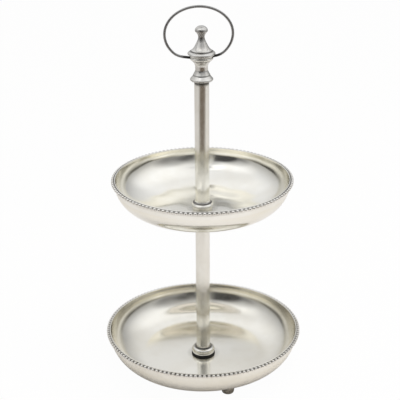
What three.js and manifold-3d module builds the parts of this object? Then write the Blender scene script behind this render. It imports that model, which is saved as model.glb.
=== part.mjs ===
// Two-tier serving stand in silver plate. Two shallow dished bowls with beaded rims sit one above
// the other on a tubular stem. A threaded rod inside the stem draws everything together between a
// nut under the lower bowl and the turned finial. An oval wire ring pivots in the collar below the
// finial, and three bun feet carry the stand.
// Millimetres, +Z up. The origin is on the table under the stem. The ring pivots about an axis a
// little off X.
import * as THREE from "three";
import { mergeVertices } from "three/addons/utils/BufferGeometryUtils.js";
import Module from "manifold-3d";

const wasm = await Module();
wasm.setup();

// Bowls: spun sheet, a flat floor and a wall that rises in a superellipse curve
const sheetThickness = 1.2;
const lowerBowlRadius = 97.1; // outside of the wall at the rim
const lowerWallRun = 36.1; // from the rim inwards to the edge of the floor
const lowerBowlDepth = 34.2; // underside to rim
const lowerWallPower = 2.1; // 2 is a quarter ellipse, more is squarer
const lowerFloorCrown = 0.8; // rise of the floor from its edge to the flat seat round the stem
const upperBowlRadius = 86.9;
const upperWallRun = 44.9;
const upperBowlDepth = 34;
const upperWallPower = 2.2;
const upperFloorCrown = 0; // flat
const floorSeatRadius = 14; // flat seat in the middle of a crowned floor

// Beaded borders: struck wire with a flat back, soldered round the outside of each rim
const beadPitch = 4.41;
const beadHeight = 3.2;
const beadReach = 3; // from the wall outwards
const beadDrop = 1.6; // rim edge down to the middle of the beads
const beadWaist = 0.45; // size of the wire between two beads, as a share of a bead
const borderGap = 0.1; // solder between border and wall

// Feet
const footHeight = 9.1;
const footRadius = 6.4;
const footTopRadius = 5.8;
const footPadRadius = 4.6; // flat that meets the table
const footOutset = 3; // middle of a foot outside the edge of the bowl's floor
const footRise = 2; // stock above the floor's level that is fitted to the wall
const footSeatGap = 0.3; // solder between foot and bowl
const footCount = 3;
const firstFootAngle = -67.5; // degrees from +X

// Stem tubes and what they slide over
const tubeRadius = 7.1;
const tubeWall = 1;
const lowerTubeLength = 150.5;
const upperTubeLength = 124.3;
const spigotLength = 6;
const fitGap = 0.15; // between turned pieces that slide together

// Threaded rod, nut and washer
const rodRadius = 3;
const rodClearance = 0.4; // in plain bores
const threadClearance = 0.15; // in tapped bores
const nutAcrossFlats = 10;
const nutHeight = 5;
const baseWasherRadius = 9;
const baseWasherThickness = 1.4;
const rodTail = 0.8; // rod showing below the nut
const tappedDepth = 10; // blind hole in the finial
const rodEndGap = 1; // rod end to the bottom of that hole

// Black pad and collar in the lower bowl
const lowerPadRadius = 12.1;
const lowerPadThickness = 1.6;
const lowerCollarRadius = 11.8;
const lowerCollarNeckRadius = 9.3;
const lowerCollarHeight = 6.7;
const lowerCollarBelly = 2.1; // height of its widest part

// Pad and collar in the upper bowl, and the collar that the upper bowl rests on
const upperPadRadius = 9.8;
const upperPadThickness = 0.8;
const upperCollarRadius = 10.4;
const upperCollarHeight = 6.6;
const upperCollarBead = 3; // height of the bead round its top
const upperCollarStep = 0.5; // bead proud of the drum below it
const seatCollarRadius = 10.5;
const seatCollarHeight = 5;
const seatCollarRim = 2; // upright edge under the bowl

// Ferrules soldered round the foot of each tube
const lowerFerruleRadius = 9.2;
const lowerFerruleHeight = 6.2;
const lowerFerruleBand = 3.4; // straight part, below the cove
const upperFerruleRadius = 10.4;
const upperFerruleHeight = 4;
const upperFerruleBand = 0.8;
const ferruleEdge = 0.5; // wall left at the top of the cove

// Baluster on top of the upper tube
const balusterHeight = 20.5;
const balusterBeadHeight = 3.2;
const balusterBeadBulge = 2; // how far the bead round its foot swells
const balusterReach = 11.1; // outermost radius of that bead
const balusterFilletRadius = 8.7;
const balusterFilletHeight = 2.7;
const balusterGroove = 0.3;
const balusterWaistRadius = 6.1;
const balusterWaistHeight = 12.3; // height of the middle of the waist
const balusterWaistLength = 3; // straight part of the waist
const balusterLowerCove = 3.6; // how late the curve above the groove turns upright
const balusterUpperCove = 2.9; // the same below the top
const balusterTopRadius = 9.9;
const balusterTopEdge = 0.6; // chamfer

// Pivot collar: two reeds, drilled for the ends of the ring
const pivotCollarHeight = 5.2;
const lowerReedRadius = 10.8;
const upperReedRadius = 11.4;
const reedGrooveHeight = 2.8;
const reedRelief = 1.2; // collar faces inside the reeds
const pivotHeight = 2.75; // ring axis above the foot of the collar
const pivotHoleDepth = 5.4;

// Finial: disc, bell, neck and button
const discRadius = 13.25;
const discHeight = 3.7;
const discBelly = 0.9; // height of its widest part
const bellRadius = 10;
const bellEdge = 0.4;
const bellHeight = 7.8; // above the disc, where the bell turns into the neck
const bellTopRadius = 4.75;
const bellFlare = new THREE.Vector2(7.5, 1.2); // pull of its lower curve: radius, height over its edge
const bellThroat = new THREE.Vector2(5.9, 2.7); // pull of its upper curve: radius, depth below its top
const neckRadius = 3;
const neckHeight = 17; // above the foot of the finial
const neckTaper = 2.8; // how far below the neck the taper starts to straighten
const buttonRadius = 6.1;
const buttonSeatRadius = 5.6; // where the neck spreads under the button
const buttonUnderside = 21.9; // height of that place
const buttonSpread = 3; // how soon the neck spreads
const buttonLip = 0.5; // underside up to the upright edge
const buttonEdge = 0.6; // upright edge
const buttonDome = 4.7;

// Ring handle: an oval loop of round wire, bent by hand. Its pivot is drilled a little off level,
// so the ring leans to one side.
const wireRadius = 1.25;
const ringHalfWidth = 31.9; // to the middle of the wire
const ringHalfHeight = 26.2;
const ringRise = 22.1; // middle of the oval above the pivot axis
const ringShift = 0.8; // middle of the oval beside the stem, towards -X
const pivotLean = 3.5; // degrees between the pivot axis and X
const ringJoin = 22; // where the oval gives way to the bend, sideways from its middle
const stubReach = 14.5; // straight end of the wire, from the stem axis
const pivotClearance = 0.25;
const ringEndPlay = 0.4; // wire end to the bottom of its hole

// Facets
const bowlFacets = 48;
const turnedFacets = 20;
const wallSteps = 7;
const wireFacets = 8;
const wireSteps = 60;
const curveSteps = 3;

// Sizes that follow
const lowerFloorRadius = lowerBowlRadius - lowerWallRun;
const upperFloorRadius = upperBowlRadius - upperWallRun;
const footCircleRadius = lowerFloorRadius + footOutset;
const plainBore = rodRadius + rodClearance;
const tappedBore = rodRadius + threadClearance;
const spigotRadius = tubeRadius - tubeWall - fitGap;

// Heights of the stack, from the table up
const lowerBowlZ = footHeight;
const lowerPadZ = lowerBowlZ + lowerFloorCrown + sheetThickness;
const lowerCollarZ = lowerPadZ + lowerPadThickness;
const lowerTubeZ = lowerCollarZ + lowerCollarHeight;
const seatCollarZ = lowerTubeZ + lowerTubeLength;
const upperBowlZ = seatCollarZ + seatCollarHeight;
const upperPadZ = upperBowlZ + upperFloorCrown + sheetThickness;
const upperCollarZ = upperPadZ + upperPadThickness;
const upperTubeZ = upperCollarZ + upperCollarHeight;
const balusterZ = upperTubeZ + upperTubeLength;
const pivotCollarZ = balusterZ + balusterHeight;
const pivotZ = pivotCollarZ + pivotHeight;
const finialZ = pivotCollarZ + pivotCollarHeight;
const baseWasherZ = lowerBowlZ + lowerFloorCrown - baseWasherThickness;
const nutZ = baseWasherZ - nutHeight;
const rodZ = nutZ - rodTail;
const rodLength = finialZ + tappedDepth - rodEndGap - rodZ;

const silverPlate = new THREE.MeshStandardMaterial({ color: "#d6d1c7", roughness: 0.18, metalness: 1 });
const wornPlate = new THREE.MeshStandardMaterial({ color: "#a8a196", roughness: 0.3, metalness: 1 });
const dullWire = new THREE.MeshStandardMaterial({ color: "#85827c", roughness: 0.28, metalness: 1 });
const zincSteel = new THREE.MeshStandardMaterial({ color: "#9b9b98", roughness: 0.4, metalness: 1 });
const blackRubber = new THREE.MeshStandardMaterial({ color: "#17140f", roughness: 0.75, metalness: 0 });

const stand = new THREE.Group();

function addPart(name, geometry, material, z) {
  const mesh = new THREE.Mesh(geometry, material);
  mesh.name = name;
  mesh.position.z = z;
  stand.add(mesh);
  return mesh;
}

// A profile of (radius, height) points turned about Z
function turn(points, facets = turnedFacets) {
  return new THREE.LatheGeometry(points, facets).rotateX(Math.PI / 2);
}

// A path turned about Z. It runs up the outside and is closed down the bore.
function turnPath(path, facets) {
  path.closePath();
  return turn(path.getPoints(curveSteps), facets);
}

function ringProfile(innerRadius, outerRadius, height) {
  const path = new THREE.Path();
  path.moveTo(innerRadius, 0);
  path.lineTo(outerRadius, 0);
  path.lineTo(outerRadius, height);
  path.lineTo(innerRadius, height);
  return path;
}

// Points of a bowl wall from the edge of its floor to its rim
function wallCurve(floorRadius, rimRadius, floorHeight, rimHeight, power) {
  const points = [];
  for (let step = 0; step <= wallSteps; step += 1) {
    const turnAngle = ((step / wallSteps) * Math.PI) / 2;
    const outwards = Math.sin(turnAngle) ** (2 / power);
    const upwards = 1 - Math.max(Math.cos(turnAngle), 0) ** (2 / power);
    const radius = floorRadius + (rimRadius - floorRadius) * outwards;
    const height = floorHeight + (rimHeight - floorHeight) * upwards;
    points.push(new THREE.Vector2(radius, height));
  }
  return points;
}

function bowl(rimRadius, floorRadius, depth, power, crown) {
  const shoulder = depth - sheetThickness / 2;
  const outside = wallCurve(floorRadius, rimRadius, 0, shoulder, power);
  const innerRim = rimRadius - sheetThickness;
  const inside = wallCurve(floorRadius, innerRim, sheetThickness, shoulder, power);
  const rimCrest = new THREE.Vector2(rimRadius - sheetThickness / 2, depth);
  const seatRadii = crown > 0 ? [plainBore, floorSeatRadius] : [plainBore];
  const underside = seatRadii.map((radius) => new THREE.Vector2(radius, crown));
  const top = seatRadii.map((radius) => new THREE.Vector2(radius, crown + sheetThickness));
  const skin = [...underside, ...outside, rimCrest, ...inside.reverse(), ...top.reverse()];
  return turn([...skin, skin[0]], bowlFacets);
}

// Struck bead wire: a ring with two columns of points for each bead, one through the bead and one
// through the thin wire beside it. The back lies flat against the bowl's wall.
function beadBorder(bowlRadius) {
  const backRadius = bowlRadius + borderGap;
  const beadCount = Math.round((2 * Math.PI * (backRadius + beadReach / 2)) / beadPitch);
  const crown = beadHeight / 5;
  const section = [
    new THREE.Vector2(backRadius, -beadHeight / 2),
    new THREE.Vector2(backRadius + beadReach, -crown),
    new THREE.Vector2(backRadius + beadReach, crown),
    new THREE.Vector2(backRadius, beadHeight / 2),
    new THREE.Vector2(backRadius, -beadHeight / 2),
  ];
  const geometry = new THREE.LatheGeometry(section, 2 * beadCount);
  const position = geometry.getAttribute("position");
  for (let i = 0; i < position.count; i += 1) {
    const column = Math.floor(i / section.length);
    if (column % 2 === 0) continue;
    const radius = Math.hypot(position.getX(i), position.getZ(i));
    const thinned = backRadius + (radius - backRadius) * beadWaist;
    position.setX(i, (position.getX(i) * thinned) / radius);
    position.setY(i, position.getY(i) * beadWaist);
    position.setZ(i, (position.getZ(i) * thinned) / radius);
  }
  return geometry.rotateX(Math.PI / 2);
}

// A three.js geometry as a solid that can be cut, and back
function toSolid(geometry) {
  const bare = geometry.clone();
  bare.deleteAttribute("normal");
  bare.deleteAttribute("uv");
  const merged = mergeVertices(bare);
  const corners = merged.index.array;
  const triVerts = [];
  for (let i = 0; i < corners.length; i += 3) {
    const triangle = corners.slice(i, i + 3);
    if (new Set(triangle).size === 3) triVerts.push(...triangle);
  }
  const vertProperties = merged.getAttribute("position").array;
  const mesh = new wasm.Mesh({ numProp: 3, vertProperties, triVerts: new Uint32Array(triVerts) });
  return new wasm.Manifold(mesh);
}

function toGeometry(solid) {
  const mesh = solid.getMesh();
  const geometry = new THREE.BufferGeometry();
  geometry.setAttribute("position", new THREE.BufferAttribute(mesh.vertProperties, 3));
  geometry.setIndex(new THREE.BufferAttribute(mesh.triVerts, 1));
  geometry.computeVertexNormals();
  return geometry;
}

// A bun foot, flat below where it stands and cut on top to the underside of the bowl
function foot() {
  const belly = footHeight / 2;
  const path = new THREE.Path();
  path.moveTo(0, 0);
  path.lineTo(footPadRadius, 0);
  path.quadraticCurveTo(footRadius, 0, footRadius, belly);
  path.lineTo(footTopRadius, footHeight);
  path.lineTo(footTopRadius, footHeight + footRise);
  path.lineTo(0, footHeight + footRise);
  const stock = turn(path.getPoints(curveSteps)).translate(footCircleRadius, 0, 0);
  const outside = wallCurve(lowerFloorRadius, lowerBowlRadius, 0, lowerBowlDepth, lowerWallPower);
  const middle = [new THREE.Vector2(plainBore, lowerBowlDepth), new THREE.Vector2(plainBore, 0)];
  const bowlBody = turn([...outside, ...middle, outside[0]], bowlFacets);
  const cutter = toSolid(bowlBody.translate(0, 0, lowerBowlZ - footSeatGap));
  return toGeometry(toSolid(stock).subtract(cutter)).translate(-footCircleRadius, 0, 0);
}

function nut() {
  const shape = new THREE.Shape();
  const cornerRadius = nutAcrossFlats / 2 / Math.cos(Math.PI / 6);
  for (let corner = 0; corner < 6; corner += 1) {
    const angle = (corner * Math.PI) / 3;
    const x = cornerRadius * Math.cos(angle);
    const y = cornerRadius * Math.sin(angle);
    if (corner === 0) shape.moveTo(x, y);
    else shape.lineTo(x, y);
  }
  shape.closePath();
  shape.holes.push(new THREE.Path().absarc(0, 0, tappedBore, 0, 2 * Math.PI, false));
  const extrusion = { depth: nutHeight, bevelEnabled: false, curveSegments: turnedFacets / 2 };
  return new THREE.ExtrudeGeometry(shape, extrusion);
}

// Collar in the lower bowl: a full ovolo under a short neck, with a spigot up inside the tube
function lowerCollar() {
  const belly = lowerCollarBelly;
  const path = new THREE.Path();
  path.moveTo(plainBore, 0);
  path.lineTo(lowerCollarRadius - belly / 2, 0);
  path.quadraticCurveTo(lowerCollarRadius, belly / 4, lowerCollarRadius, belly);
  path.quadraticCurveTo(lowerCollarRadius, lowerCollarHeight, lowerCollarNeckRadius, lowerCollarHeight);
  path.lineTo(spigotRadius, lowerCollarHeight);
  path.lineTo(spigotRadius, lowerCollarHeight + spigotLength);
  path.lineTo(plainBore, lowerCollarHeight + spigotLength);
  return turnPath(path);
}

// Collar in the upper bowl: a plain drum with a bead round its top
function upperCollar() {
  const drumRadius = upperCollarRadius - upperCollarStep;
  const beadFoot = upperCollarHeight - upperCollarBead;
  const beadMiddle = upperCollarHeight - upperCollarBead / 2;
  const path = new THREE.Path();
  path.moveTo(plainBore, 0);
  path.lineTo(drumRadius, 0);
  path.lineTo(drumRadius, beadFoot);
  path.quadraticCurveTo(upperCollarRadius, beadFoot, upperCollarRadius, beadMiddle);
  path.quadraticCurveTo(upperCollarRadius, upperCollarHeight, drumRadius, upperCollarHeight);
  path.lineTo(spigotRadius, upperCollarHeight);
  path.lineTo(spigotRadius, upperCollarHeight + spigotLength);
  path.lineTo(plainBore, upperCollarHeight + spigotLength);
  return turnPath(path);
}

// Collar that the upper bowl rests on: a cone with a spigot down inside the lower tube
function seatCollar() {
  const rimFoot = seatCollarHeight - seatCollarRim;
  const path = new THREE.Path();
  path.moveTo(plainBore, -spigotLength);
  path.lineTo(spigotRadius, -spigotLength);
  path.lineTo(spigotRadius, 0);
  path.lineTo(tubeRadius, 0);
  path.quadraticCurveTo(tubeRadius, rimFoot, seatCollarRadius, rimFoot);
  path.lineTo(seatCollarRadius, seatCollarHeight);
  path.lineTo(plainBore, seatCollarHeight);
  return turnPath(path);
}

// A ring soldered round the foot of a tube, straight below and coved in to the tube above
function ferrule(radius, height, band) {
  const innerRadius = tubeRadius + fitGap;
  const topRadius = innerRadius + ferruleEdge;
  const path = new THREE.Path();
  path.moveTo(innerRadius, 0);
  path.lineTo(radius, 0);
  path.lineTo(radius, band);
  path.quadraticCurveTo(topRadius, band, topRadius, height);
  path.lineTo(innerRadius, height);
  return turnPath(path);
}

// Baluster: a bold bead, a fillet and groove, then a waist that flares to the pivot collar
function baluster() {
  const beadMiddle = balusterBeadHeight / 2;
  const beadCentre = balusterReach - balusterBeadBulge;
  const filletTop = balusterBeadHeight + balusterFilletHeight;
  const grooveTop = filletTop + balusterGroove;
  const grooveRadius = balusterFilletRadius - balusterGroove;
  const waist = balusterWaistRadius;
  const waistFoot = balusterWaistHeight - balusterWaistLength / 2;
  const topEdge = balusterHeight - balusterTopEdge;
  const path = new THREE.Path();
  path.moveTo(plainBore, -spigotLength);
  path.lineTo(spigotRadius, -spigotLength);
  path.lineTo(spigotRadius, 0);
  path.absellipse(
    beadCentre,
    beadMiddle,
    balusterBeadBulge,
    beadMiddle,
    -Math.PI / 2,
    Math.PI / 2,
    false,
    0,
  );
  path.lineTo(balusterFilletRadius, balusterBeadHeight);
  path.lineTo(balusterFilletRadius, filletTop);
  path.lineTo(grooveRadius, grooveTop);
  path.quadraticCurveTo(waist, grooveTop + balusterLowerCove, waist, waistFoot);
  path.lineTo(waist, waistFoot + balusterWaistLength);
  path.quadraticCurveTo(waist, topEdge - balusterUpperCove, balusterTopRadius - balusterTopEdge, topEdge);
  path.lineTo(balusterTopRadius, balusterHeight);
  path.lineTo(plainBore, balusterHeight);
  return turnPath(path);
}

// Two half-round reeds with a groove between them, drilled from both sides for the ring's ends
function pivotCollar() {
  const lowerReed = reedGrooveHeight / 2;
  const upperReed = (pivotCollarHeight - reedGrooveHeight) / 2;
  const path = new THREE.Path();
  path.moveTo(plainBore, 0);
  path.absarc(lowerReedRadius - lowerReed, lowerReed, lowerReed, -Math.PI / 2, Math.PI / 2, false);
  path.lineTo(lowerReedRadius - reedRelief, reedGrooveHeight);
  path.absarc(
    upperReedRadius - upperReed,
    reedGrooveHeight + upperReed,
    upperReed,
    -Math.PI / 2,
    Math.PI / 2,
    false,
  );
  path.lineTo(plainBore, pivotCollarHeight);
  const holeRadius = wireRadius + pivotClearance;
  const holeBottom = upperReedRadius - pivotHoleDepth;
  const drill = new THREE.CylinderGeometry(holeRadius, holeRadius, 2 * pivotHoleDepth, 2 * wireFacets);
  drill.rotateZ(Math.PI / 2).translate(holeBottom + pivotHoleDepth, 0, 0);
  const oppositeDrill = drill.clone().rotateZ(Math.PI);
  const drum = toSolid(turnPath(path));
  return toGeometry(drum.subtract(onPivotAxis(drill)).subtract(onPivotAxis(oppositeDrill)));
}

// A drill along X as a solid on the pivot axis
function onPivotAxis(drill) {
  return toSolid(drill.rotateY(-THREE.MathUtils.degToRad(pivotLean)).translate(0, 0, pivotHeight));
}

// Finial: a round-edged disc, a bell that sweeps up to a thin neck, and a domed button on top
function finial() {
  const bellFoot = discHeight + bellEdge;
  const bellTop = discHeight + bellHeight;
  const edgeFoot = buttonUnderside + buttonLip;
  const edgeTop = edgeFoot + buttonEdge;
  const path = new THREE.Path();
  path.moveTo(0, tappedDepth);
  path.lineTo(tappedBore, tappedDepth);
  path.lineTo(tappedBore, 0);
  path.lineTo(upperReedRadius - reedRelief, 0);
  path.quadraticCurveTo(discRadius, 0, discRadius, discBelly);
  path.quadraticCurveTo(discRadius, (discBelly + discHeight) / 2, bellRadius, discHeight);
  path.lineTo(bellRadius, bellFoot);
  path.bezierCurveTo(
    bellFlare.x,
    bellFoot + bellFlare.y,
    bellThroat.x,
    bellTop - bellThroat.y,
    bellTopRadius,
    bellTop,
  );
  path.quadraticCurveTo(neckRadius, neckHeight - neckTaper, neckRadius, neckHeight);
  path.quadraticCurveTo(neckRadius, buttonUnderside - buttonSpread, buttonSeatRadius, buttonUnderside);
  path.lineTo(buttonRadius, edgeFoot);
  path.lineTo(buttonRadius, edgeTop);
  path.absellipse(0, edgeTop, buttonRadius, buttonDome, 0, Math.PI / 2, false, 0);
  return turn(path.getPoints(curveSteps));
}

// Middle line of the ring: two straight ends on the pivot axis, a bend from each, and the oval
// between them
class RingCurve extends THREE.Curve {
  constructor() {
    super();
    this.ovalReach = Math.PI - Math.asin(ringJoin / ringHalfWidth);
    this.left = this.bend(-1);
    this.right = this.bend(1);
  }

  oval(angle) {
    const x = ringHalfWidth * Math.sin(angle) - ringShift;
    return new THREE.Vector3(x, 0, ringRise + ringHalfHeight * Math.cos(angle));
  }

  // Bend between one straight end and the oval, with its corner on the pivot axis
  bend(side) {
    const join = this.oval(side * this.ovalReach);
    const before = this.oval(side * (this.ovalReach - 0.01));
    const slope = (before.z - join.z) / (before.x - join.x);
    const corner = new THREE.Vector3(join.x - join.z / slope, 0, 0);
    const end = new THREE.Vector3(side * stubReach, 0, 0);
    return new THREE.QuadraticBezierCurve3(end, corner, join);
  }

  getPoint(t, target = new THREE.Vector3()) {
    const wireEnd = upperReedRadius - pivotHoleDepth + ringEndPlay;
    const stub = 0.06;
    const bendEnd = 0.13;
    if (t < stub) {
      return target.set(THREE.MathUtils.lerp(-wireEnd, -stubReach, t / stub), 0, 0);
    }
    if (t < bendEnd) {
      return target.copy(this.left.getPoint((t - stub) / (bendEnd - stub)));
    }
    if (t <= 1 - bendEnd) {
      const share = (t - bendEnd) / (1 - 2 * bendEnd);
      return target.copy(this.oval(THREE.MathUtils.lerp(-this.ovalReach, this.ovalReach, share)));
    }
    if (t < 1 - stub) {
      return target.copy(this.right.getPoint((1 - stub - t) / (bendEnd - stub)));
    }
    return target.set(THREE.MathUtils.lerp(wireEnd, stubReach, (1 - t) / stub), 0, 0);
  }
}

function ringHandle() {
  const section = new THREE.Shape().absarc(0, 0, wireRadius, 0, 2 * Math.PI, false);
  const wire = new THREE.ExtrudeGeometry(section, {
    steps: wireSteps,
    curveSegments: wireFacets / 2,
    extrudePath: new RingCurve(),
  });
  return wire.rotateY(-THREE.MathUtils.degToRad(pivotLean));
}

function addBowl(tier, geometry, rimRadius, depth, z) {
  addPart(tier + "_bowl", geometry, silverPlate, z);
  addPart(tier + "_bead_border", beadBorder(rimRadius), silverPlate, z + depth - beadDrop);
}

// Lower bowl on its feet
for (let index = 0; index < footCount; index += 1) {
  const angle = THREE.MathUtils.degToRad(firstFootAngle + (360 / footCount) * index);
  const mesh = addPart("foot_" + (index + 1), foot().rotateZ(angle), wornPlate, 0);
  mesh.position.x = footCircleRadius * Math.cos(angle);
  mesh.position.y = footCircleRadius * Math.sin(angle);
}
const lowerBowl = bowl(
  lowerBowlRadius,
  lowerFloorRadius,
  lowerBowlDepth,
  lowerWallPower,
  lowerFloorCrown,
);
addBowl("lower", lowerBowl, lowerBowlRadius, lowerBowlDepth, lowerBowlZ);

// What clamps the stand together
const baseWasher = turnPath(ringProfile(plainBore, baseWasherRadius, baseWasherThickness));
addPart("base_washer", baseWasher, zincSteel, baseWasherZ);
addPart("base_nut", nut(), zincSteel, nutZ);
const rod = new THREE.CylinderGeometry(rodRadius, rodRadius, rodLength, turnedFacets / 2);
addPart("tie_rod", rod.rotateX(Math.PI / 2).translate(0, 0, rodLength / 2), zincSteel, rodZ);

// Lower stem
const lowerPad = turnPath(ringProfile(plainBore, lowerPadRadius, lowerPadThickness));
addPart("lower_pad", lowerPad, blackRubber, lowerPadZ);
addPart("lower_collar", lowerCollar(), silverPlate, lowerCollarZ);
const lowerFerrule = ferrule(lowerFerruleRadius, lowerFerruleHeight, lowerFerruleBand);
addPart("lower_ferrule", lowerFerrule, silverPlate, lowerTubeZ);
const lowerTube = turnPath(ringProfile(tubeRadius - tubeWall, tubeRadius, lowerTubeLength));
addPart("lower_tube", lowerTube, silverPlate, lowerTubeZ);

// Upper bowl
addPart("seat_collar", seatCollar(), silverPlate, seatCollarZ);
const upperBowl = bowl(
  upperBowlRadius,
  upperFloorRadius,
  upperBowlDepth,
  upperWallPower,
  upperFloorCrown,
);
addBowl("upper", upperBowl, upperBowlRadius, upperBowlDepth, upperBowlZ);

// Upper stem
const upperPad = turnPath(ringProfile(plainBore, upperPadRadius, upperPadThickness));
addPart("upper_pad", upperPad, blackRubber, upperPadZ);
addPart("upper_collar", upperCollar(), silverPlate, upperCollarZ);
const upperFerrule = ferrule(upperFerruleRadius, upperFerruleHeight, upperFerruleBand);
addPart("upper_ferrule", upperFerrule, silverPlate, upperTubeZ);
const upperTube = turnPath(ringProfile(tubeRadius - tubeWall, tubeRadius, upperTubeLength));
addPart("upper_tube", upperTube, silverPlate, upperTubeZ);

// Head of the stand
addPart("baluster", baluster(), silverPlate, balusterZ);
addPart("pivot_collar", pivotCollar(), silverPlate, pivotCollarZ);
addPart("finial", finial(), silverPlate, finialZ);
addPart("ring_handle", ringHandle(), dullWire, pivotZ);

export default stand;
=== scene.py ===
# Two-tier serving stand in silver plate: its fine surfaces and finishes, with floor, light and camera.
# Sizes of the pieces and patterns are millimetres and their angles degrees. Blender works in metres,
# and so do the places and sizes of the stage, lamp and camera.
import bpy
import math
from mathutils import Matrix, Vector


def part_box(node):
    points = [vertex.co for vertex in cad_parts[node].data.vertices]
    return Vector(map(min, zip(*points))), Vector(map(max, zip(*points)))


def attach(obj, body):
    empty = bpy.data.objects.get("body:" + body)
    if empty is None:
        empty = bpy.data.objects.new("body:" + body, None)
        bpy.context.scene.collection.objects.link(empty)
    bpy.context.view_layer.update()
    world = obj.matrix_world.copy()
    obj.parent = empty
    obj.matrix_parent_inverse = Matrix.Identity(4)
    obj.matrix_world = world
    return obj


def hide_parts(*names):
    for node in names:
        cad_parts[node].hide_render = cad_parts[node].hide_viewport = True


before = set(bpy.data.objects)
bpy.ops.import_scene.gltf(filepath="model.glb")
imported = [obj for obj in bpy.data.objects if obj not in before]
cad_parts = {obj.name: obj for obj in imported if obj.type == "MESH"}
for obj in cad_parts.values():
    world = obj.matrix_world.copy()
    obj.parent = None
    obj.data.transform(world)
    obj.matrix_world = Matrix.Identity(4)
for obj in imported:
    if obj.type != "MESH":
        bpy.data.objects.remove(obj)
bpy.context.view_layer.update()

mm = 0.001
fullTurn = 2 * math.pi
mergeDistance = 0.002 * mm
fineStep = 0.5  # longest stretch between two points of a turned outline


# Heights in the frame

def lowest(node):
    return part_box(node)[0].z / mm


def highest(node):
    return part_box(node)[1].z / mm


# Outlines are lists of (radius, height)

def arcPoints(centre, radii, start, end, steps):
    points = []
    for i in range(steps + 1):
        angle = math.radians(start + (end - start) * i / steps)
        points.append((centre[0] + radii[0] * math.cos(angle), centre[1] + radii[1] * math.sin(angle)))
    return points


def curvePoints(controls, steps=10):
    # smooth curve from the first control point to the last, drawn towards those between
    points = []
    for i in range(steps + 1):
        row = [Vector(point) for point in controls]
        while len(row) > 1:
            row = [a.lerp(b, i / steps) for a, b in zip(row, row[1:])]
        points.append(tuple(row[0]))
    return points


def wallPoints(wall, steps=40):
    # quarter of a superellipse, from the edge of the floor up to the rim
    points = []
    for i in range(steps + 1):
        angle = math.pi / 2 * i / steps
        outwards = math.sin(angle) ** (2 / wall["power"])
        upwards = 1 - max(math.cos(angle), 0) ** (2 / wall["power"])
        radius = wall["floor"] + (wall["rim"] - wall["floor"]) * outwards
        points.append((radius, wall["foot"] + (wall["top"] - wall["foot"]) * upwards))
    return points


def softened(outline, radius, steps=3, sharpTurn=25, mostOfEdge=0.45, shortest=1e-6):
    # round every corner that turns by more than the sharp turn
    points = [tuple(outline[0])]
    for previous, corner, following in zip(outline, outline[1:], outline[2:]):
        here = Vector(corner)
        before = Vector(previous) - here
        after = Vector(following) - here
        if min(before.length, after.length) < shortest:
            continue
        turn = 180 - math.degrees(before.angle(after))
        if turn < sharpTurn:
            points.append(tuple(here))
            continue
        reach = radius * math.tan(math.radians(turn / 2))
        reach = min(reach, mostOfEdge * before.length, mostOfEdge * after.length)
        start = here + before.normalized() * reach
        end = here + after.normalized() * reach
        points += curvePoints([start, here, end], steps)
    points.append(tuple(outline[-1]))
    return points


def dense(outline, step):
    # no stretch of the outline longer than the step
    points = [outline[0]]
    for before, after in zip(outline, outline[1:]):
        parts = max(1, math.ceil((Vector(after) - Vector(before)).length / step))
        points += [tuple(Vector(before).lerp(Vector(after), i / parts)) for i in range(1, parts + 1)]
    return points


# Modelling steps

def selectOnly(*objs):
    bpy.ops.object.select_all(action="DESELECT")
    for obj in objs:
        obj.select_set(True)
    bpy.context.view_layer.objects.active = objs[0]


def drawn(name, points):
    # one vertex, extruded from point to point, left in edit mode
    bpy.ops.object.select_all(action="DESELECT")
    bpy.ops.mesh.primitive_plane_add(size=mm, location=[value * mm for value in points[0]])
    obj = bpy.context.object
    obj.name = name
    bpy.ops.object.transform_apply(location=True)
    bpy.ops.object.mode_set(mode="EDIT")
    bpy.ops.mesh.select_all(action="SELECT")
    bpy.ops.mesh.merge(type="CENTER")
    for before, after in zip(points, points[1:]):
        move = [(b - a) * mm for a, b in zip(before, after)]
        bpy.ops.mesh.extrude_region_move(TRANSFORM_OT_translate={"value": move})
    bpy.ops.mesh.select_all(action="SELECT")
    return obj


def closeShell():
    # from edit mode: weld the seams and turn all faces outwards
    bpy.ops.mesh.select_all(action="SELECT")
    bpy.ops.mesh.remove_doubles(threshold=mergeDistance)
    bpy.ops.mesh.normals_make_consistent(inside=False)
    bpy.ops.object.mode_set(mode="OBJECT")


def turned(name, outline, steps=96):
    # draw the outline, then spin it round the stem
    obj = drawn(name, [(radius, 0, height) for radius, height in outline])
    bpy.ops.mesh.spin(steps=steps, angle=fullTurn, center=(0, 0, 0), axis=(0, 0, 1))
    closeShell()
    return obj


def cut(obj, tool, operation="DIFFERENCE"):
    modifier = obj.modifiers.new("cut", "BOOLEAN")
    modifier.operation = operation
    modifier.object = tool
    modifier.solver = "EXACT"
    selectOnly(obj)
    bpy.ops.object.modifier_apply(modifier="cut")
    bpy.data.objects.remove(tool)


def markPoints(obj, name, shareAt):
    # a share from 0 to 1 for every point: for the dark colour it says how far that covers the point, which is
    # black tarnish in hollows and painted shade, and "film" is how much of the straw coloured tarnish it has
    layer = obj.data.attributes.new(name, "FLOAT", "POINT")
    for vertex in obj.data.vertices:
        x, y, z = vertex.co / mm
        layer.data[vertex.index].value = min(1, max(0, shareAt(x, y, z)))


def bands(foot, grime):
    # dark bands round the stem: (height above the foot, spread above and below, strength)
    def depthAt(x, y, z):
        return max(strength * max(0, 1 - abs(z - foot - height) / spread)
                   for height, spread, strength in grime)
    return depthAt


def finish(obj, node, material, body="stand", angle=35):
    selectOnly(obj)
    bpy.ops.object.shade_smooth_by_angle(angle=math.radians(angle))
    obj.data.materials.clear()
    obj.data.materials.append(material)
    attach(obj, body)
    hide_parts(node)


# Materials

colourMix = {"data_type": "RGBA"}
multiply = {"operation": "MULTIPLY"}
smoothStep = {"interpolation_type": "SMOOTHSTEP"}


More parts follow.
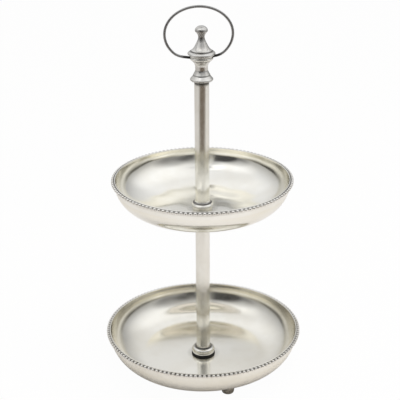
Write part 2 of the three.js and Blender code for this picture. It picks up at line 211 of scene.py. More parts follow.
def linear(hexColour):
    channels = [int(hexColour[i:i + 2], 16) / 255 for i in (1, 3, 5)]
    return tuple(c / 12.92 if c <= 0.04045 else ((c + 0.055) / 1.055) ** 2.4 for c in channels) + (1,)


def liveOutput(node):
    return next(socket for socket in node.outputs if socket.enabled)


def addNode(tree, kind, settings=None, **sockets):
    # sockets go by their labels without spaces, and by number where a label is there more than once;
    # a node as a value means its first output in use
    made = tree.nodes.new("ShaderNode" + kind)
    for key, value in (settings or {}).items():
        setattr(made, key, value)
    enabled = [socket for socket in made.inputs if socket.enabled]
    for key, value in sockets.items():
        label, number = (key + "_0").split("_")[:2]
        socket = [each for each in enabled if each.name.replace(" ", "") == label][int(number)]
        if isinstance(value, bpy.types.Node):
            tree.links.new(liveOutput(value), socket)
        elif isinstance(value, bpy.types.NodeSocket):
            tree.links.new(value, socket)
        else:
            socket.default_value = value
    return made


def newMaterial(name):
    material = bpy.data.materials.new(name)
    material.use_nodes = True
    tree = material.node_tree
    return material, tree, tree.nodes["Principled BSDF"].inputs


# what all the metals share: the grain of each pattern and the part of it that counts. The film is the
# first, straw coloured stage of tarnish on silver.
metalPatterns = {
    "film": "#f0e8cc",
    "cloud": {"Detail": 4, "Roughness": 0.6}, "cloudRange": {"FromMin": 0.42, "FromMax": 0.72},
    "speckle": {"Detail": 3, "Roughness": 0.7},
    "speckleRange": {"FromMin": 0.35, "FromMax": 0.75, "ToMin": 0.75, "ToMax": 1},
    "smudge": {"Detail": 3, "Roughness": 0.6, "Distortion": 0.4},
    "smudgeRange": {"FromMin": 0.35, "FromMax": 0.7},
    "line": {"Detail": 2}, "wave": {"Detail": 1, "Roughness": 0.4},
}


def polishedMetal(name, look):
    # plated or bare metal: polish that varies with handling, tarnish in clouds, a dark colour where points
    # are marked, for black tarnish in hollows and for painted shade, turning lines left by the wheel, drawn
    # coarser than real ones so that they show, and the slow waves of worked sheet. Only the bowls carry a
    # film: elsewhere that attribute is missing and reads 0.
    shared = metalPatterns
    material, tree, surface = newMaterial(name)
    place = addNode(tree, "TexCoord").outputs["Object"]
    recess = addNode(tree, "Attribute", {"attribute_name": "recess"}).outputs["Fac"]
    film = addNode(tree, "Attribute", {"attribute_name": "film"}).outputs["Fac"]

    cloud = addNode(tree, "TexNoise", None, Vector=place, Scale=1 / (look["cloudSize"] * mm),
                    **shared["cloud"])
    clouded = addNode(tree, "MapRange", None, Value=cloud, ToMax=look["cloudTarnish"], **shared["cloudRange"])
    speckle = addNode(tree, "TexNoise", None, Vector=place, Scale=1 / (look["speckleSize"] * mm),
                      **shared["speckle"])
    speckled = addNode(tree, "MapRange", None, Value=speckle, **shared["speckleRange"])
    # the dark colour laid by the marked share is black tarnish in hollows and painted shade in gaps, under
    # parts and in dark reflections
    tarnishAndShadeMask = addNode(tree, "Math", multiply, Value_0=recess, Value_1=speckled)
    darkCover = addNode(tree, "Math", multiply, Value_0=tarnishAndShadeMask, Value_1=look["recessTarnish"])
    filmed = addNode(tree, "Mix", colourMix, Factor=film, A=linear(look["colour"]), B=linear(shared["film"]))
    tinted = addNode(tree, "Mix", colourMix, Factor=clouded, A=filmed, B=linear(look["tarnish"]))
    coloured = addNode(tree, "Mix", colourMix, Factor=darkCover, A=tinted, B=linear(look["grime"]))
    tree.links.new(liveOutput(coloured), surface["Base Color"])
    surface["Metallic"].default_value = 1

    smudge = addNode(tree, "TexNoise", None, Vector=place, Scale=1 / (look["smudgeSize"] * mm),
                     **shared["smudge"])
    finest, dullest = look["roughness"]
    polish = addNode(tree, "MapRange", None, Value=smudge, ToMin=finest, ToMax=dullest,
                     **shared["smudgeRange"])
    dulled = addNode(tree, "Math", {"operation": "MULTIPLY_ADD"}, Value_0=tarnishAndShadeMask,
                     Value_1=look["recessRoughness"], Value_2=polish)
    tree.links.new(liveOutput(dulled), surface["Roughness"])

    # lines run round the stem's axis, one beside the other across flat parts and up a wall or tube
    axes = addNode(tree, "SeparateXYZ", None, Vector=place).outputs
    across = addNode(tree, "CombineXYZ", None, X=axes["X"], Y=axes["Y"])
    distance = addNode(tree, "VectorMath", {"operation": "LENGTH"}, Vector=across)
    along = addNode(tree, "Math", {"operation": "ADD"}, Value_0=distance, Value_1=axes["Z"])
    line = addNode(tree, "TexNoise", {"noise_dimensions": "1D"}, W=along, Scale=1 / (look["lineWidth"] * mm),
                   **shared["line"])
    wave = addNode(tree, "TexNoise", None, Vector=place, Scale=1 / (look["waveSize"] * mm), **shared["wave"])
    worked = addNode(tree, "Bump", None, Height=wave, Distance=look["waveDepth"] * mm, Strength=1)
    lined = addNode(tree, "Bump", None, Height=line, Distance=look["lineDepth"] * mm, Strength=1,
                    Normal=worked)
    tree.links.new(liveOutput(lined), surface["Normal"])
    return material


# bright silver plate on spun sheet, hand polished, faint warm tarnish
brightPlate = polishedMetal("silver plate, polished spun sheet", {
    "colour": "#fbfaf5", "tarnish": "#e9e3d4", "grime": "#4a3f30",
    "cloudSize": 38, "cloudTarnish": 0.35, "speckleSize": 3, "recessTarnish": 0.7,
    "smudgeSize": 24, "roughness": (0.1, 0.17), "recessRoughness": 0.2,
    "lineWidth": 0.45, "lineDepth": 0.0012, "waveSize": 36, "waveDepth": 1.2,
})

# the same plate with a softer, greyer polish, from more use
handledPlate = polishedMetal("silver plate, spun sheet dulled by use", {
    "colour": "#f6f4ed", "tarnish": "#e4ddcc", "grime": "#4a3f30",
    "cloudSize": 38, "cloudTarnish": 0.35, "speckleSize": 3, "recessTarnish": 0.7,
    "smudgeSize": 24, "roughness": (0.12, 0.19), "recessRoughness": 0.2,
    "lineWidth": 0.45, "lineDepth": 0.0012, "waveSize": 46, "waveDepth": 0.6,
})

# silver plate on turned brass and tube, less polished, black in the grooves, and darkened at the tops of the
# tubes as painted shadow
stemPlate = polishedMetal("silver plate, aged on turned brass", {
    "colour": "#f3f2ed", "tarnish": "#d7d0c0", "grime": "#1d1813",
    "cloudSize": 26, "cloudTarnish": 0.4, "speckleSize": 2, "recessTarnish": 0.97,
    "smudgeSize": 14, "roughness": (0.17, 0.25), "recessRoughness": 0.2,
    "lineWidth": 0.3, "lineDepth": 0.0008, "waveSize": 30, "waveDepth": 0.05,
})

# the same plate on the baluster and finial, in a greyer tone
headPlate = polishedMetal("silver plate, greyer tone", {
    "colour": "#e4e3e0", "tarnish": "#c2bcb0", "grime": "#1a1612",
    "cloudSize": 14, "cloudTarnish": 0.5, "speckleSize": 2, "recessTarnish": 0.97,
    "smudgeSize": 9, "roughness": (0.16, 0.24), "recessRoughness": 0.2,
    "lineWidth": 0.3, "lineDepth": 0.0006, "waveSize": 20, "waveDepth": 0.03,
})

# silver plate on struck bead wire, bright crowns with black tarnish and painted shade between them
beadPlate = polishedMetal("silver plate, struck beads with dark recesses", {
    "colour": "#faf8f4", "tarnish": "#dfd6c2", "grime": "#15110c",
    "cloudSize": 20, "cloudTarnish": 0.3, "speckleSize": 2, "recessTarnish": 1.0,
    "smudgeSize": 9, "roughness": (0.16, 0.24), "recessRoughness": 0.35,
    "lineWidth": 0.5, "lineDepth": 0.0004, "waveSize": 8, "waveDepth": 0.02,
})

# hard nickel silver wire, bent by hand and dull grey, black at its ends
wireMetal = polishedMetal("nickel silver wire, dull", {
    "colour": "#aaaaaa", "tarnish": "#949391", "grime": "#161412",
    "cloudSize": 12, "cloudTarnish": 0.4, "speckleSize": 1.5, "recessTarnish": 1.0,
    "smudgeSize": 6, "roughness": (0.26, 0.36), "recessRoughness": 0.2,
    "lineWidth": 0.4, "lineDepth": 0.0004, "waveSize": 9, "waveDepth": 0.02,
})

# plate worn thin over brass on the feet, brownish, its colour darkened as painted shade for the shadow under
# the bowl, and darker still at the solder joint and the bottom
footPlate = polishedMetal("silver plate, worn over brass", {
    "colour": "#a8a49b", "tarnish": "#7e7462", "grime": "#1c1814",
    "cloudSize": 7, "cloudTarnish": 0.6, "speckleSize": 1.2, "recessTarnish": 0.85,
    "smudgeSize": 5, "roughness": (0.2, 0.34), "recessRoughness": 0.25,
    "lineWidth": 0.3, "lineDepth": 0.001, "waveSize": 6, "waveDepth": 0.03,
})

# zinc-plated steel of the rod, nut and washer, matt bluish grey
zincPlate = polishedMetal("steel, dull zinc plate", {
    "colour": "#a3a5a6", "tarnish": "#8f8d80", "grime": "#3a3630",
    "cloudSize": 6, "cloudTarnish": 0.4, "speckleSize": 1, "recessTarnish": 0.6,
    "smudgeSize": 5, "roughness": (0.38, 0.5), "recessRoughness": 0.15,
    "lineWidth": 0.25, "lineDepth": 0.002, "waveSize": 5, "waveDepth": 0.02,
})

rubberLook = {
    "colour": "#14110d", "dustColour": "#4a4237", "dustSize": 2.5, "dust": 0.5,
    "dustGrain": {"Detail": 4, "Roughness": 0.7}, "dustRange": {"FromMin": 0.5, "FromMax": 0.8},
    "roughness": 0.62, "grainSize": 0.5, "grainDepth": 0.03,
}


def mattRubber(name, look):
    material, tree, surface = newMaterial(name)
    place = addNode(tree, "TexCoord").outputs["Object"]
    dust = addNode(tree, "TexNoise", None, Vector=place, Scale=1 / (look["dustSize"] * mm),
                   **look["dustGrain"])
    dusted = addNode(tree, "MapRange", None, Value=dust, ToMax=look["dust"], **look["dustRange"])
    coloured = addNode(tree, "Mix", colourMix, Factor=dusted, A=linear(look["colour"]),
                       B=linear(look["dustColour"]))
    tree.links.new(liveOutput(coloured), surface["Base Color"])
    surface["Roughness"].default_value = look["roughness"]
    grain = addNode(tree, "TexNoise", None, Vector=place, Scale=1 / (look["grainSize"] * mm))
    grained = addNode(tree, "Bump", None, Height=grain, Distance=look["grainDepth"] * mm)
    tree.links.new(liveOutput(grained), surface["Normal"])
    return material


# moulded rubber washer, matt black with a little dust
rubber = mattRubber("rubber, matt black", rubberLook)


# Bowls: spun sheet with a flat seat in the middle, and a lip rounded over by the spinner. The power
# says how square the wall's curve is, and the right side's shade how much painted shade darkens its right
# side inside.

lowerBowlSizes = {
    "node": "lower_bowl", "bore": 3.4, "seat": 14.0, "floor": 61.0, "rim": 97.1, "depth": 34.2,
    "power": 2.1, "sheet": 1.2, "crown": 0.8, "stain": 0.45,
}
upperBowlSizes = {
    "node": "upper_bowl", "bore": 3.4, "seat": 14.0, "floor": 42.0, "rim": 86.9, "depth": 34.0,
    "power": 2.2, "sheet": 1.2, "crown": 0.0, "stain": 0.0,
}
# painted shade on the bowls, and where the straw coloured film lies
bowlShadeAndFilm = {
    "underBeads": (3.6, 1.2, 0.35),  # painted shade below the beads: distance below the rim, spread, strength
    "roundCollar": (12.0, 3.0, 0.8),  # painted shade round the collar: radius, spread, strength
    "wallFoot": 0.45, "wallTop": 3.0,  # film from this share of the depth, full this far below the rim
    "filmAround": 0.1, "filmAtSides": 0.45, "stainNarrow": 3,
    "insideFrom": 0.9,  # share of the sheet's thickness past which a point is on its inner side
}
bowlSides = 192


def floorPoints(sizes, level, steps=12):
    # flat seat in the middle, then falling gently to the edge of the floor
    points = [(sizes["bore"], level + sizes["crown"])]
    for i in range(steps):
        radius = sizes["seat"] + (sizes["floor"] - sizes["seat"]) * i / steps
        points.append((radius, level + sizes["crown"] * (1 + math.cos(math.pi * i / steps)) / 2))
    return points


def makeBowl(name, sizes, plate):
    shadeAndFilm = bowlShadeAndFilm
    sheet = sizes["sheet"]
    foot = lowest(sizes["node"])
    rimHeight = foot + sizes["depth"]
    lip = sheet / 2
    shoulder = rimHeight - lip
    outer = {
        "floor": sizes["floor"], "rim": sizes["rim"], "foot": foot, "top": shoulder, "power": sizes["power"],
    }
    inner = dict(outer, rim=sizes["rim"] - sheet, foot=foot + sheet)
    outline = floorPoints(sizes, foot) + wallPoints(outer)
    outline += arcPoints((sizes["rim"] - lip, shoulder), (lip, lip), 0, 180, 8)[1:-1]
    outline += reversed(wallPoints(inner))
    outline += reversed(floorPoints(sizes, foot + sheet))
    outline.append(outline[0])
    obj = turned(name, outline, bowlSides)
    wallFoot = foot + shadeAndFilm["wallFoot"] * sizes["depth"]
    wallTop = rimHeight - shadeAndFilm["wallTop"]
    inside = shadeAndFilm["insideFrom"] * sheet

    def wallShare(radius, z):
        # inside the wall: 0 at its foot, 1 below the rim
        if radius > sizes["rim"] - inside:
            return 0
        return min(1, max(0, (z - wallFoot) / (wallTop - wallFoot)))

    def depthAt(x, y, z):
        # painted shade: darker on the right side inside, in a band under the beads and in a ring round the
        # collar
        radius = math.hypot(x, y)
        depth = sizes["stain"] * max(0, x / radius) ** shadeAndFilm["stainNarrow"] * wallShare(radius, z)
        if radius > sizes["rim"] - lip:
            drop, spread, strength = shadeAndFilm["underBeads"]
            depth = max(depth, strength * (1 - abs(z - rimHeight + drop) / spread))
        if z > foot + inside:
            reach, spread, strength = shadeAndFilm["roundCollar"]
            depth = max(depth, strength * (1 - (radius - reach) / spread))
        return depth
    markPoints(obj, "recess", depthAt)

    def filmAt(x, y, z):
        # thickest at the two sides
        radius = math.hypot(x, y)
        return wallShare(radius, z) * (shadeAndFilm["filmAround"] + shadeAndFilm["filmAtSides"] * abs(x) / radius)
    markPoints(obj, "film", filmAt)
    finish(obj, sizes["node"], plate, angle=50)


makeBowl("lowerBowl", lowerBowlSizes, handledPlate)
makeBowl("upperBowl", upperBowlSizes, brightPlate)
print("bowls done")


# Beaded borders: struck wire, each bead with a flat back against the wall. Black tarnish and painted shade
# start a little way down between two beads. The upper border has painted shade behind its beads too, from
# halfway down.

beadSizes = {
    "pitch": 4.41, "halfLength": 1.75, "halfHeight": 1.55, "halfDepth": 1.652, "reach": 2.95,
    "wallGap": 0.1, "drop": 1.6, "segments": 10, "rings": 6,
    "wireReach": 1.3, "wireShoulder": 0.91, "wireHalfHeight": 1.05, "wireEdge": 0.3,
    "cleanGap": 0.1, "cleanDepth": 0.5,
}


def makeBorder(name, node, bowlSizes, grime):
    sizes = beadSizes
    back = bowlSizes["rim"] + sizes["wallGap"]
    front = back + sizes["reach"]
    level = lowest(bowlSizes["node"]) + bowlSizes["depth"] - sizes["drop"]
    count = round(fullTurn * (back + sizes["reach"] / 2) / sizes["pitch"])

    bpy.ops.object.select_all(action="DESELECT")
    bpy.ops.mesh.primitive_uv_sphere_add(segments=sizes["segments"], ring_count=sizes["rings"], radius=mm)
    bead = bpy.context.object
    bead.scale = (sizes["halfDepth"], sizes["halfLength"], sizes["halfHeight"])
    bead.location = ((front - sizes["halfDepth"]) * mm, 0, level * mm)
    bpy.ops.object.transform_apply(location=True, scale=True)
    bpy.ops.object.mode_set(mode="EDIT")
    bpy.ops.mesh.select_all(action="SELECT")
    bpy.ops.mesh.bisect(plane_co=(back * mm, 0, 0), plane_no=(1, 0, 0), use_fill=True, clear_inner=True)
    bpy.ops.object.mode_set(mode="OBJECT")

    beads = []
    for i in range(count):
        copy = bead.copy()
        copy.data = bead.data.copy()
        bpy.context.collection.objects.link(copy)
        copy.matrix_world = Matrix.Rotation(fullTurn * i / count, 4, "Z")
        beads.append(copy)
    bpy.data.objects.remove(bead)
    half = sizes["wireHalfHeight"]
    shoulder = back + sizes["wireShoulder"]
    wire = turned(name, softened([
        (back, level - half), (shoulder, level - half), (back + sizes["wireReach"], level),
        (shoulder, level + half), (back, level + half), (back, level - half),
    ], sizes["wireEdge"]), 2 * count)
    selectOnly(wire, *beads)
    bpy.ops.object.join()
    wire.name = name

    def depthAt(x, y, z):
        # painted shade, with black tarnish, between the beads, and painted shade behind the upper border's
        # beads
        share = (math.atan2(y, x) / fullTurn * count) % 1
        between = 1 - abs(share - 0.5) * 2
        depth = (front - math.hypot(x, y)) / sizes["reach"]
        gaps = grime["gaps"] * between * depth - sizes["cleanGap"]
        return max(gaps, grime["back"] * (depth - sizes["cleanDepth"]))
    markPoints(wire, "recess", depthAt)
    finish(wire, node, beadPlate, angle=60)


makeBorder("lowerBeads", "lower_bead_border", lowerBowlSizes, {"gaps": 1.6, "back": 0.0})
makeBorder("upperBeads", "upper_bead_border", upperBowlSizes, {"gaps": 0.8, "back": 2.4})
print("beaded borders done")


# Feet: turned buns, soldered under the lower bowl. The taper is a radius and a share of the height.

# its dark bands: at the top, tarnish in the solder joint and painted shade under the bowl; at the bottom,
# painted shade
footSizes = {
    "count": 3, "firstAngle": -67.5, "circle": 64.0, "height": 9.1, "flat": 3.8, "padRadius": 4.6,
    "radius": 6.4, "taper": (6.3, 0.75), "topRadius": 5.8, "seat": 0.9, "solder": 0.7, "solderLip": 0.1,
    "solderEdge": 0.27, "sides": 64, "grime": [(9.1, 2.4, 0.9), (0, 1.2, 0.5)],
}


def makeFoot(name, node, angle):
    sizes = footSizes
    height, radius, top = sizes["height"], sizes["radius"], sizes["topRadius"]
    solder, lip = sizes["solder"], sizes["solderLip"]
    taper = (sizes["taper"][0], height * sizes["taper"][1])
    outline = [(0, 0), (sizes["flat"], 0)]
    outline += curvePoints([(sizes["padRadius"], 0), (radius, 0), (radius, height / 2)])
    outline += curvePoints([(radius, height / 2), taper, (top, height - solder)], 5)[1:]
    outline += curvePoints([(top, height - solder), (top, height - lip), (top + solder, height + lip)], 4)[1:]
    outline += [(top + solder, height + sizes["solderEdge"]), (top, height + sizes["seat"])]
    outline += [(0, height + sizes["seat"])]
    obj = turned(name, outline, sizes["sides"])
    markPoints(obj, "recess", bands(0, sizes["grime"]))
    turn = math.radians(angle)
    selectOnly(obj)
    obj.location = (sizes["circle"] * math.cos(turn) * mm, sizes["circle"] * math.sin(turn) * mm, 0)
    obj.rotation_euler = (0, 0, turn)
    bpy.ops.object.transform_apply(location=True, rotation=True)
    finish(obj, node, footPlate)


for i in range(footSizes["count"]):
    footAngle = footSizes["firstAngle"] + 360 / footSizes["count"] * i
    makeFoot("bunFoot" + str(i + 1), "foot_" + str(i + 1), footAngle)
print("feet done")


# Pads, collars, ferrules and tubes of the stem

tubeRadius = 7.1
tubeWall = 1.0
rodHole = 3.4
spigotRadius = 5.95
spigotLength = 6.0

lowerPadSizes = {"bore": 3.7, "radius": 12.1, "edge": 0.5}
upperPadSizes = {"bore": 3.7, "radius": 8.6, "edge": 0.25}


def makePad(name, node, sizes):
    low, high = lowest(node), highest(node)
    bore, radius = sizes["bore"], sizes["radius"]
    outline = [(bore, low), (radius, low), (radius, high), (bore, high), (bore, low)]
    finish(turned(name, softened(outline, sizes["edge"], 4)), node, rubber)


lowerCollarSizes = {
    "radius": 11.8, "neck": 8.5, "height": 6.7, "belly": 2.1, "edge": 0.3,
    "grime": [(0, 0.7, 0.9), (6.7, 0.3, 0.9)],
}


def makeLowerCollar():
    # an ovolo: round below, then curving in to the neck
    sizes = lowerCollarSizes
    z = lowest("lower_collar")
    radius, neck, belly = sizes["radius"], sizes["neck"], sizes["belly"]
    top = z + sizes["height"]
    outline = [(rodHole, z), (radius - belly / 2, z)]
    outline += curvePoints([(radius - belly / 2, z), (radius, z + belly / 4), (radius, z + belly)], 6)[1:]
    outline += curvePoints([(radius, z + belly), (radius, top), (neck, top)], 12)[1:]
    outline += [(spigotRadius, top), (spigotRadius, top + spigotLength), (rodHole, top + spigotLength)]
    outline += [(rodHole, z)]
    obj = turned("lowerCollar", dense(softened(outline, sizes["edge"]), fineStep))
    markPoints(obj, "recess", bands(z, sizes["grime"]))
    finish(obj, "lower_collar", stemPlate)


upperCollarSizes = {
    "radius": 10.4, "height": 5.8, "bead": 3.0, "bulge": 1.2, "ledge": 9.2, "step": 0.5, "skirt": 1.1,
    "skirtWall": 1.0, "edge": 0.25, "grime": [(-1.1, 0.7, 0.5), (2.8, 0.5, 0.5), (5.8, 0.15, 0.6)],
}


def makeUpperCollar():
    # a drum with a bead round its top, and a skirt that comes down round the pad
    sizes = upperCollarSizes
    z = lowest("upper_collar")
    top = z + sizes["height"]
    drum = sizes["radius"] - sizes["step"]
    beadFoot = top - sizes["bead"]
    bulge, beadHalf = sizes["bulge"], sizes["bead"] / 2
    spigotTop = highest("upper_collar")
    skirtFoot = z - sizes["skirt"]
    skirtInner = drum - sizes["skirtWall"]
    outline = [(rodHole, z), (skirtInner, z), (skirtInner, skirtFoot), (drum, skirtFoot), (drum, beadFoot)]
    outline += arcPoints((sizes["radius"] - bulge, beadFoot + beadHalf), (bulge, beadHalf), -70, 0, 6)
    outline += [(sizes["ledge"], top), (spigotRadius, top), (spigotRadius, spigotTop), (rodHole, spigotTop)]
    outline += [(rodHole, z)]
    obj = turned("upperCollar", dense(softened(outline, sizes["edge"]), fineStep))
    markPoints(obj, "recess", bands(z, sizes["grime"]))
    finish(obj, "upper_collar", stemPlate)


seatCollarSizes = {
    "radius": 10.5, "height": 5.0, "rim": 2.0, "edge": 0.35,
    "grime": [(5.0, 0.8, 1.0), (0, 0.6, 0.9), (3.0, 0.4, 0.6)],
}


def makeSeatCollar():
    # flares from the tube to the rim that the upper bowl sits on
    sizes = seatCollarSizes
    top = highest("seat_collar")
    foot = top - sizes["height"]
    rimFoot = top - sizes["rim"]
    outline = [(rodHole, foot - spigotLength), (spigotRadius, foot - spigotLength), (spigotRadius, foot)]
    outline += curvePoints([(tubeRadius, foot), (tubeRadius, rimFoot), (sizes["radius"], rimFoot)], 10)
    outline += [(sizes["radius"], top), (rodHole, top), (rodHole, foot - spigotLength)]
    obj = turned("seatCollar", dense(softened(outline, sizes["edge"]), fineStep))
    markPoints(obj, "recess", bands(foot, sizes["grime"]))
    finish(obj, "seat_collar", stemPlate)


# sunk is how far a ferrule's foot lies below the frame's, and hollow how far its curve is drawn in
# and up, as shares of its width and height
lowerFerruleSizes = {
    "radius": 8.2, "rim": 0.4, "height": 2.6, "sunk": 0.0, "fit": 0.05, "hollow": (0.2, 0.1),
    "edge": 0.2, "step": 0.4, "grime": [(0, 1.9, 1.7)],
}
upperFerruleSizes = dict(lowerFerruleSizes, radius=9.5, rim=0.3, sunk=0.8)


def makeFerrule(name, node, sizes):
    # a low hollow curve at the foot of the tube, black where it meets the collar
    z = lowest(node) - sizes["sunk"]
    radius, fit, height = sizes["radius"], sizes["fit"], sizes["height"]
    rim = z + sizes["rim"]
    inner = tubeRadius + fit
    inwards, upwards = sizes["hollow"]
    hollow = (inner + inwards * (radius - inner), rim + upwards * height)
    outline = [(inner, z), (radius, z)]
    outline += curvePoints([(radius, rim), hollow, (inner + fit, z + height)], 14)
    outline += [(inner, z + height), (inner, z)]
    obj = turned(name, dense(softened(outline, sizes["edge"]), sizes["step"]))
    markPoints(obj, "recess", bands(z, sizes["grime"]))
    finish(obj, node, stemPlate)


# the dark band at the top of each tube is tarnish and painted shadow under the part above; its heights are
# from the top of the tube, and the end rows are close so that it fades evenly
lowerTubeSizes = {
    "endRows": [0.4, 0.8, 1.2, 1.8, 2.4, 3, 4, 6, 9], "shares": (0.25, 0.5, 0.75), "step": 6,
    "grime": [(0, 1.6, 0.9)],
}
upperTubeSizes = dict(lowerTubeSizes, grime=[(0, 4.2, 2.0)])


def makeTube(name, node, sizes):
    z, top = lowest(node), highest(node)
    bore = tubeRadius - tubeWall
    outline = [(bore, z), (tubeRadius, z)]
    outline += [(tubeRadius, z + row) for row in sizes["endRows"]]
    outline += [(tubeRadius, z + (top - z) * share) for share in sizes["shares"]]
    outline += [(tubeRadius, top - row) for row in reversed(sizes["endRows"])]
    outline += [(tubeRadius, top), (bore, top), (bore, z)]
    obj = turned(name, dense(outline, sizes["step"]))
    markPoints(obj, "recess", bands(top, sizes["grime"]))
    finish(obj, node, stemPlate)


makePad("lowerPad", "lower_pad", lowerPadSizes)
makePad("upperPad", "upper_pad", upperPadSizes)
makeLowerCollar()
makeUpperCollar()
makeSeatCollar()
makeFerrule("lowerFerrule", "lower_ferrule", lowerFerruleSizes)
makeFerrule("upperFerrule", "upper_ferrule", upperFerruleSizes)
makeTube("lowerTube", "lower_tube", lowerTubeSizes)
makeTube("upperTube", "upper_tube", upperTubeSizes)
print("stem done")


# Head of the stem: baluster, pivot collar and finial

balusterSizes = {
    "height": 20.5, "beadHeight": 3.2, "bulge": 2.0, "reach": 11.1, "shoulder": 9.6, "shoulderEase": 0.7,
    "fillet": 8.5, "filletHeight": 2.7, "groove": 0.3, "waist": 6.1, "waistHeight": 12.3,
    "waistLength": 3.0, "lowerCove": 3.6, "upperCove": 2.9, "top": 9.9, "topEdge": 0.6, "edge": 0.25,
    # the band at the bead's foot is tarnish and painted shadow under the bead
    "grime": [(0, 1.7, 1.0), (6.1, 0.6, 0.7), (20.5, 0.9, 0.9)],
}


def makeBaluster():
    # a bold bead with a sloping shoulder, a fillet and groove, and a waist that flares to the collar
    sizes = balusterSizes
    top = highest("baluster")
    z = top - sizes["height"]
    half, bulge, waist, ease = sizes["beadHeight"] / 2, sizes["bulge"], sizes["waist"], sizes["shoulderEase"]
    shoulder = (sizes["shoulder"], z + sizes["beadHeight"] + ease)
    filletTop = z + sizes["beadHeight"] + sizes["filletHeight"]
    grooveTop = filletTop + sizes["groove"]
    grooveRadius = sizes["fillet"] - sizes["groove"]
    waistFoot = z + sizes["waistHeight"] - sizes["waistLength"] / 2
    waistTop = waistFoot + sizes["waistLength"]
    edge = top - sizes["topEdge"]
    outline = [(rodHole, z - spigotLength), (spigotRadius, z - spigotLength), (spigotRadius, z)]
    outline += arcPoints((sizes["reach"] - bulge, z + half), (bulge, half), -90, 50, 14)
    outline += curvePoints([outline[-1], shoulder, (sizes["fillet"], filletTop - ease)], 8)[1:]
    lowerCove = [(grooveRadius, grooveTop), (waist, grooveTop + sizes["lowerCove"]), (waist, waistFoot)]
    outline += curvePoints(lowerCove, 14)
    outline += [(waist, (waistFoot + waistTop) / 2)]
    upperCove = [(waist, waistTop), (waist, edge - sizes["upperCove"])]
    outline += curvePoints(upperCove + [(sizes["top"] - sizes["topEdge"], edge)], 14)
    outline += [(sizes["top"], top), (rodHole, top), (rodHole, z - spigotLength)]
    obj = turned("baluster", dense(softened(outline, sizes["edge"]), fineStep))
    markPoints(obj, "recess", bands(z, sizes["grime"]))
    finish(obj, "baluster", headPlate)


pivotSizes = {
    "height": 5.2, "lowerReed": 11.2, "upperReed": 11.4, "groove": 3.6, "relief": 1.0, "step": 0.6,
    "axis": 2.75, "lean": 3.5, "hole": 1.5, "holeDepth": 5.4, "drill": 10.0, "drillSides": 32,
    "grime": [(3.6, 0.28, 0.8), (0, 0.7, 1.0), (5.2, 0.4, 1.0)], "holeGrime": 0.6,
}


def makePivotCollar():
    # two half-round reeds, drilled from both sides for the ends of the ring
    sizes = pivotSizes
    z = lowest("pivot_collar")
    lower = sizes["groove"] / 2
    upper = (sizes["height"] - sizes["groove"]) / 2
    groove = z + sizes["groove"]
    axis = z + sizes["axis"]
    outline = [(rodHole, z)]
    outline += arcPoints((sizes["lowerReed"] - lower, z + lower), (lower, lower), -90, 90, 14)
    outline += [(sizes["lowerReed"] - sizes["relief"], groove)]
    outline += arcPoints((sizes["upperReed"] - upper, groove + upper), (upper, upper), -90, 90, 14)
    outline += [(rodHole, z + sizes["height"]), (rodHole, z)]
    obj = turned("pivotCollar", dense(outline, sizes["step"]))
    for side in (-1, 1):
        middle = sizes["upperReed"] - sizes["holeDepth"] + sizes["drill"] / 2
        bpy.ops.object.select_all(action="DESELECT")
        bpy.ops.mesh.primitive_cylinder_add(vertices=sizes["drillSides"], radius=sizes["hole"] * mm,
                                            depth=sizes["drill"] * mm)
        drill = bpy.context.object
        drill.matrix_world = (Matrix.Translation((0, 0, axis * mm))
                              @ Matrix.Rotation(-math.radians(sizes["lean"]), 4, "Y")
                              @ Matrix.Translation((side * middle * mm, 0, 0))
                              @ Matrix.Rotation(math.pi / 2, 4, "Y"))
        cut(obj, drill)
    inGrooves = bands(z, sizes["grime"])

    def depthAt(x, y, height):
        roundHole = 1 - (math.hypot(y, height - axis) - sizes["hole"]) / sizes["holeGrime"]
        return max(roundHole, inGrooves(x, y, height))
    markPoints(obj, "recess", depthAt)
    finish(obj, "pivot_collar", stemPlate)


# the flare and the throat draw the bell's curve: a radius, and a distance from its foot or its top
finialSizes = {
    "disc": 13.25, "discHeight": 3.7, "discBelly": 0.9, "seat": 10.2, "bell": 10.0, "bellEdge": 0.4,
    "bellHeight": 7.8, "bellTop": 4.75, "flare": (7.5, 1.2), "throat": (6.1, 2.7), "neck": 3.0,
    "neckHeight": 17.0, "neckTaper": 1.9, "button": 6.1, "buttonSeat": 5.6, "buttonUnder": 21.9,
    "buttonSpread": 3.0, "lip": 0.5, "buttonEdge": 0.6, "dome": 4.7, "tapRadius": 3.15, "tapDepth": 10.0,
    "edge": 0.25,
    # the broad band round the neck and the one at the top of the dome are painted dark reflections
    "grime": [(0, 0.4, 0.8), (3.6, 0.8, 1.2), (18.0, 6.0, 0.7), (21.6, 1.3, 0.45), (22.7, 0.9, 0.7),
              (27.7, 2.2, 0.4)],
}


